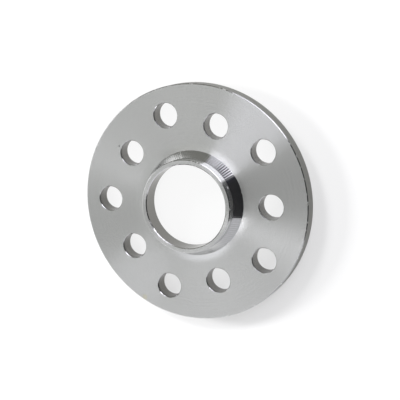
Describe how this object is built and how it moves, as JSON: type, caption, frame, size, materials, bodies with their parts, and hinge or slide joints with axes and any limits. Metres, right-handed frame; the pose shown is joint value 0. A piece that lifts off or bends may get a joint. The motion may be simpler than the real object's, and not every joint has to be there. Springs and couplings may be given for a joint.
{
  "type": "wheel spacer",
  "caption": "Hub-centric wheel spacer: a flat turned plate with a stepped centring collar, a coned hub recess and two interleaved circles of through holes for wheel bolts.",
  "frame": {"origin": "middle of the hub side face, on the axle", "axes": "+Z along the axle from the hub towards the wheel, +X through the middle of one hole of the larger bolt circle, +Y completing a right-handed frame"},
  "size_m": [0.146, 0.146, 0.023],
  "materials": {
    "aluminium": "fine turned, bare"
  },
  "bodies": {
    "root": {"wheel_spacer": "aluminium"}
  },
  "joints": []
}
